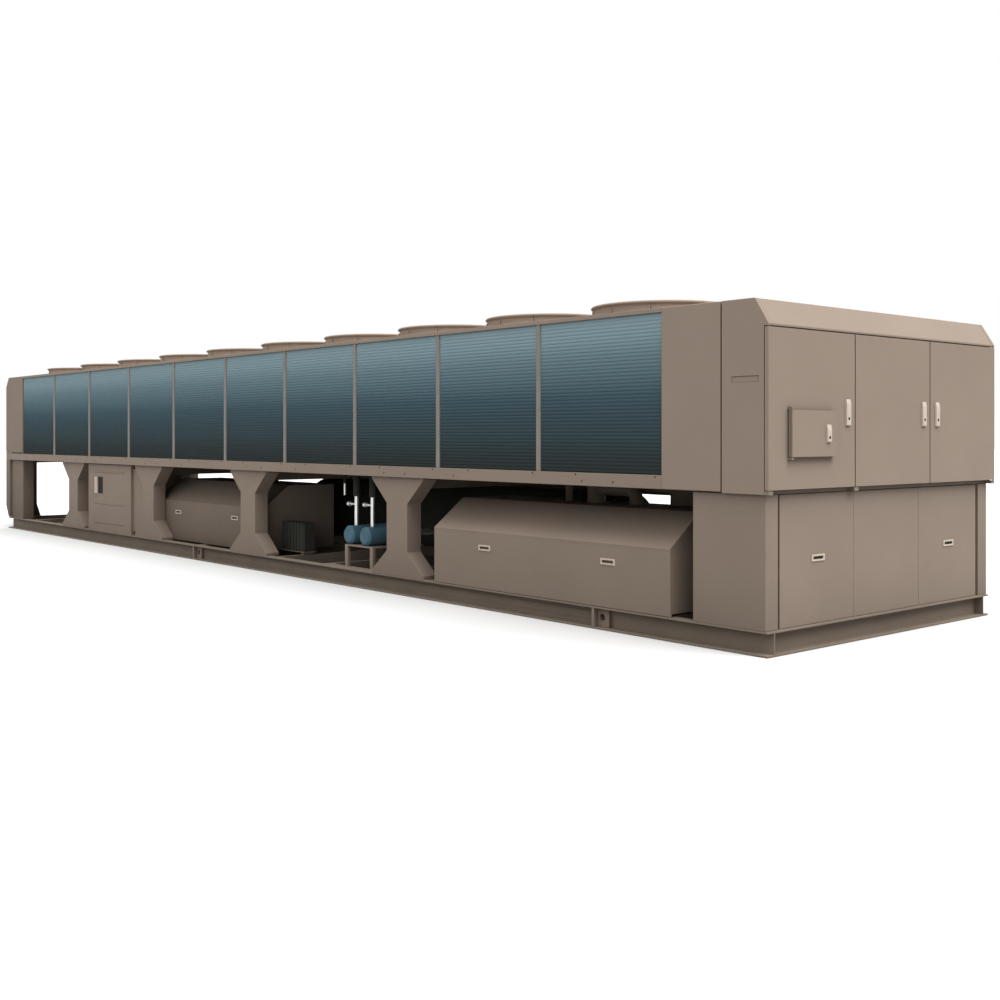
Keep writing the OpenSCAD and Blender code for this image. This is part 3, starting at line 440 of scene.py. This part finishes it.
def guard_wires(work, node):
    """Fine rings on each guard of one row."""
    low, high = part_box(node)
    middle = (low[1] + high[1]) / 2
    outer = (high[1] - low[1]) / 2 - RING_MARGIN
    step = (outer - HUB_R) / FINE_RINGS
    for i in range(BAYS):
        centre = (coil_low[0] + (i + 0.5) * BAY, middle, high[2] - FINE_WIRE)
        for k in range(FINE_RINGS):
            add_ring(work, centre, HUB_R + (k + 0.5) * step, FINE_WIRE)


for label in ("front", "back"):
    mesh = mesh_of(f"{label}_guard_wires", lambda work, n=f"{label}_guards": guard_wires(work, n))
    piece(f"{label}_guard_wires", mesh, dark_paint)

# Screws in the lower rails: offsets from the bay line, in an upper row and a lower row that alternates
UPPER_SCREWS = (-0.048, 0.355)
LOWER_SCREWS = ((0.193,), (0.411, 0.679))
UPPER_RISE = 0.070
LOWER_RISE = 0.029
SCREW_R = 0.0045
SCREW_PROUD = 0.003
SCREW_SUNK = 0.001
SCREW_SIDES = 6


def rail_screws(work):
    """Screw heads along both lower rails."""
    low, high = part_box("lower_rails")
    spots = [(BAYS * BAY + UPPER_SCREWS[0], UPPER_RISE)]
    for i in range(BAYS):
        spots += [(i * BAY + off, UPPER_RISE) for off in UPPER_SCREWS]
        spots += [(i * BAY + off, LOWER_RISE) for off in LOWER_SCREWS[i % 2]]
    for side in (-1, 1):
        face = side * high[1]
        for off, rise in spots:
            x, z = coil_low[0] + off, low[2] + rise
            foot = (x, face - side * SCREW_SUNK, z)
            top = (x, face + side * SCREW_PROUD, z)
            add_rod(work, foot, top, SCREW_R, SCREW_SIDES)


piece("rail_screws", mesh_of("rail_screws", rail_screws), dark_paint)

# Dark discs painted as the shade in the keyholes of the handles: height as a share of the handle's, size
# and depth
KEYHOLE_AT = 0.27
KEYHOLE_R = 0.0085
KEYHOLE_DEEP = 0.0078
KEYHOLE_PROUD = 0.0008
HANDLES = (
    ("left_door_handle", "left_door"), ("middle_door_handle", "middle_door"),
    ("right_door_handle", "right_door"), ("access_latch", "access_cover"),
)


def keyhole(work, node):
    """Dark disc in the bore of a handle, painted shade of the keyhole."""
    low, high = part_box(node)
    y = (low[1] + high[1]) / 2
    z = low[2] + KEYHOLE_AT * (high[2] - low[2])
    foot = (high[0] - KEYHOLE_DEEP, y, z)
    top = (high[0] + KEYHOLE_PROUD, y, z)
    add_rod(work, foot, top, KEYHOLE_R, ROUND_SIDES)


for node, body in HANDLES:
    mesh = mesh_of(f"{node}_keyhole", lambda work, n=node: keyhole(work, n))
    piece(f"{node}_keyhole", mesh, dark_paint, body)

# Dark plate painted as shade in the slot of the junction box: edges from the middle of the box, levels and
# depth
BOX_HALF = 0.575
INSERT_X = (-0.302, -0.170)
INSERT_Z = (0.557, 0.739)
INSERT_DEEP = (0.006, 0.0121)


def box_slot_shade(work):
    """Thin dark plate at the bottom of the slot, painted shade."""
    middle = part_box("junction_box")[0][0] + BOX_HALF
    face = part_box("front_legs")[0][1]
    add_box(
        work,
        (middle + INSERT_X[0], face + INSERT_DEEP[0], INSERT_Z[0]),
        (middle + INSERT_X[1], face + INSERT_DEEP[1], INSERT_Z[1]),
    )


piece("box_slot_shade", mesh_of("box_slot_shade", box_slot_shade), dark_paint)

# Filler sheets on both sides of the junction box, from its edges to the waists of the legs
FILLER_Z = (0.182, 0.845)
FILLER_NEAR = (0.028, 0.034)
FILLER_DEEP = (0.129, 0.134)
NEAR_LAP = 0.002
DEEP_LAP = 0.02
BOX_SHIFT = 0.016


def box_fillers(work):
    """One sheet close behind the face towards the cabinet and one deeper towards the tail."""
    low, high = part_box("junction_box")
    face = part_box("front_legs")[0][1]
    middle = low[0] + BOX_HALF
    tail_x = 2.0 * (middle - BOX_SHIFT) - high[0]
    add_box(
        work,
        (middle + BOX_HALF - NEAR_LAP, face + FILLER_NEAR[0], FILLER_Z[0]),
        (high[0], face + FILLER_NEAR[1], FILLER_Z[1]),
    )
    add_box(
        work,
        (tail_x, face + FILLER_DEEP[0], FILLER_Z[0]),
        (low[0] + DEEP_LAP, face + FILLER_DEEP[1], FILLER_Z[1]),
    )


piece("box_fillers", mesh_of("box_fillers", box_fillers), low_shaded_paint)

# Dark strips painted as shade in the slits of the tail side panels
SLIT_EDGE = 0.033
SLIT_L = 0.356
SLIT_H = 0.014
SLIT_DEEP = (0.001, 0.020)


def slit_shades(work):
    """Dark strip in each slit, just below the panel's face, painted shade."""
    low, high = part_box("tail_side_panels")
    for side in (-1, 1):
        faces = sorted(side * (high[1] - deep) for deep in SLIT_DEEP)
        add_box(
            work,
            (high[0] - SLIT_EDGE - SLIT_L, faces[0], low[2]),
            (high[0] - SLIT_EDGE, faces[1], low[2] + SLIT_H),
        )


piece("slit_shades", mesh_of("slit_shades", slit_shades), dark_paint)

# Plate heat exchanger in the middle bay, on a tray that a short post holds above a cross member
PLATES = 14
PLATE_INSET = 0.006
STACK_LOW = (0.418, -0.900, 0.168)
STACK_HIGH = (0.794, -0.780, 0.421)
TRAY_LOW = (0.405, -0.905, 0.160)
TRAY_HIGH = (0.800, -0.775, STACK_LOW[2])
POST_LOW = (0.730, -0.890, 0.139)
POST_HIGH = (0.775, -0.790, TRAY_LOW[2])


def exchanger(work):
    """Stack of upright plates, every second one a little smaller."""
    step = (STACK_HIGH[0] - STACK_LOW[0]) / PLATES
    for i in range(PLATES):
        inset = PLATE_INSET * (i % 2)
        add_box(
            work,
            (STACK_LOW[0] + i * step, STACK_LOW[1] + inset, STACK_LOW[2] + inset),
            (STACK_LOW[0] + (i + 1) * step, STACK_HIGH[1] - inset, STACK_HIGH[2] - inset),
        )


def exchanger_bracket(work):
    """Tray under the exchanger and its post on the cross member."""
    add_box(work, TRAY_LOW, TRAY_HIGH)
    add_box(work, POST_LOW, POST_HIGH)


piece("plate_exchanger", mesh_of("plate_exchanger", exchanger), insulation)
piece("exchanger_bracket", mesh_of("exchanger_bracket", exchanger_bracket), frame_paint)

# Sight tube beside the first drier
TUBE_X = 1.449
TUBE_Y = -0.900
TUBE_FOOT = 0.698
TUBE_TOP = 0.798
TUBE_R = 0.009
HANGER_R = 0.012
HANGER_LAP = 0.004
CEILING_LAP = 0.002


def sight_tube(work):
    """Short bright tube."""
    add_rod(work, (TUBE_X, TUBE_Y, TUBE_FOOT), (TUBE_X, TUBE_Y, TUBE_TOP), TUBE_R, ROUND_SIDES)


def tube_hanger(work):
    """Dark pipe from the tube up to the floor of the air space."""
    foot = TUBE_TOP - HANGER_LAP
    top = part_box("plenum_floor")[0][2] + CEILING_LAP
    add_rod(work, (TUBE_X, TUBE_Y, foot), (TUBE_X, TUBE_Y, top), HANGER_R, ROUND_SIDES)


piece("sight_tube", mesh_of("sight_tube", sight_tube), silver)
piece("tube_hanger", mesh_of("tube_hanger", tube_hanger), insulation)

# Strips behind the seams of the lower end panels, just below their face
SEAM = 0.003
SEAM_BACK = 0.012
SEAM_DEEP = 0.0012
END_PANELS = 3


def seam_strips(work):
    """A strip behind each seam."""
    low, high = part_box("lower_end_panels")
    panel = (high[1] - low[1] - (END_PANELS - 1) * SEAM) / END_PANELS
    for i in range(1, END_PANELS):
        y = low[1] + i * (panel + SEAM) - SEAM / 2
        add_box(
            work,
            (high[0] - SEAM_BACK, y - SEAM / 2, low[2]),
            (high[0] - SEAM_DEEP, y + SEAM / 2, high[2]),
        )


piece("seam_strips", mesh_of("seam_strips", seam_strips), rail_shaded_paint)

# Camera
camera_data = bpy.data.cameras.new("camera")
camera_data.sensor_width = SENSOR_MM
camera_data.lens = LENS_MM
camera_data.shift_y = SHIFT_Y
camera_data.clip_end = CLIP_END
camera = bpy.data.objects.new("camera", camera_data)
camera.location = CAMERA_PLACE
camera.rotation_euler = (math.radians(90.0), 0.0, CAMERA_HEADING)
bpy.context.scene.collection.objects.link(camera)
bpy.context.scene.camera = camera

# Floor: size, level of its top, and its grey where it is seen and where it lights the machine
FLOOR_HALF = 90.0
FLOOR_BOTTOM = -0.2
FLOOR_TOP = -0.0005
FLOOR_SEEN = 0.78
FLOOR_LIT = 0.24
FLOOR_SPREAD = 0.01
FLOOR_PATCHES = 0.4
FLOOR_ROUGHNESS = 0.9


def seen_rays(tree):
    """1 for the rays that show the background: from the camera, mirrored or through glass."""
    path = tree.nodes.new("ShaderNodeLightPath")
    total = path.outputs["Is Camera Ray"]
    for kind in ("Is Glossy Ray", "Is Transmission Ray"):
        either = tree.nodes.new("ShaderNodeMath")
        either.operation = "MAXIMUM"
        tree.links.new(total, either.inputs[0])
        tree.links.new(path.outputs[kind], either.inputs[1])
        total = either.outputs["Value"]
    return total


def floor_material():
    """Pale floor that takes the shadow: bright where it is seen, duller where it lights the machine."""
    material, tree, shader = new_material("floor")
    drift = noise(tree, FLOOR_PATCHES)
    bright = ramp(tree, drift, grey(FLOOR_SEEN - FLOOR_SPREAD), grey(FLOOR_SEEN + FLOOR_SPREAD))
    dull = ramp(tree, drift, grey(FLOOR_LIT - FLOOR_SPREAD), grey(FLOOR_LIT + FLOOR_SPREAD))
    choice = tree.nodes.new("ShaderNodeMix")
    choice.data_type = "RGBA"
    tree.links.new(seen_rays(tree), choice.inputs["Factor"])
    tree.links.new(dull, choice.inputs[6])
    tree.links.new(bright, choice.inputs[7])
    tree.links.new(choice.outputs[2], shader.inputs["Base Color"])
    shader.inputs["Roughness"].default_value = FLOOR_ROUGHNESS
    shader.inputs["Specular IOR Level"].default_value = 0.0
    return material


def floor_slab(work):
    """Wide slab just under the machine."""
    add_box(work, (-FLOOR_HALF, -FLOOR_HALF, FLOOR_BOTTOM), (FLOOR_HALF, FLOOR_HALF, FLOOR_TOP))


floor = bpy.data.objects.new("floor", mesh_of("floor", floor_slab))
floor.data.materials.append(floor_material())
bpy.context.scene.collection.objects.link(floor)

# World: white where it is seen, a soft sky where it lights
SKY_LOW = 0.16
SKY_HIGH = 0.30
SKY_SEEN = 1.0


def studio_world():
    """World with a strength that grows from the horizon to the zenith, and white in seen rays."""
    world = bpy.data.worlds.new("studio")
    world.use_nodes = True
    tree = world.node_tree
    coords = tree.nodes.new("ShaderNodeTexCoord")
    split = tree.nodes.new("ShaderNodeSeparateXYZ")
    tree.links.new(coords.outputs["Generated"], split.inputs["Vector"])
    level = tree.nodes.new("ShaderNodeMapRange")
    level.inputs["To Min"].default_value = SKY_LOW
    level.inputs["To Max"].default_value = SKY_HIGH
    tree.links.new(split.outputs["Z"], level.inputs["Value"])
    shown = tree.nodes.new("ShaderNodeMix")
    tree.links.new(seen_rays(tree), shown.inputs["Factor"])
    tree.links.new(level.outputs["Result"], shown.inputs[2])
    shown.inputs[3].default_value = SKY_SEEN
    background = tree.nodes["Background"]
    tree.links.new(shown.outputs[0], background.inputs["Strength"])
    background.inputs["Color"].default_value = grey(1.0)
    return world


bpy.context.scene.world = studio_world()

# Suns: direction, strength and the angle in degrees that softens their shadows
SUNS = {
    "end_key": ((-0.55, -0.05, -0.83), 3.5, 50.0),
    "side_key": ((0.08, 0.64, -0.76), 1.45, 70.0),
    "back_fill": ((0.40, -0.70, -0.60), 1.6, 60.0),
    "front_fill": ((-0.70, 0.70, -0.10), 0.6, 40.0),
}


def sun(name, direction, strength, angle):
    """A sun that shines along a direction."""
    data = bpy.data.lights.new(name, "SUN")
    data.energy = strength
    data.angle = math.radians(angle)
    obj = bpy.data.objects.new(name, data)
    obj.rotation_euler = Vector(direction).to_track_quat("-Z", "Y").to_euler()
    bpy.context.scene.collection.objects.link(obj)


for name, (direction, strength, angle) in SUNS.items():
    sun(name, direction, strength, angle)

bpy.context.scene.view_settings.view_transform = "Standard"
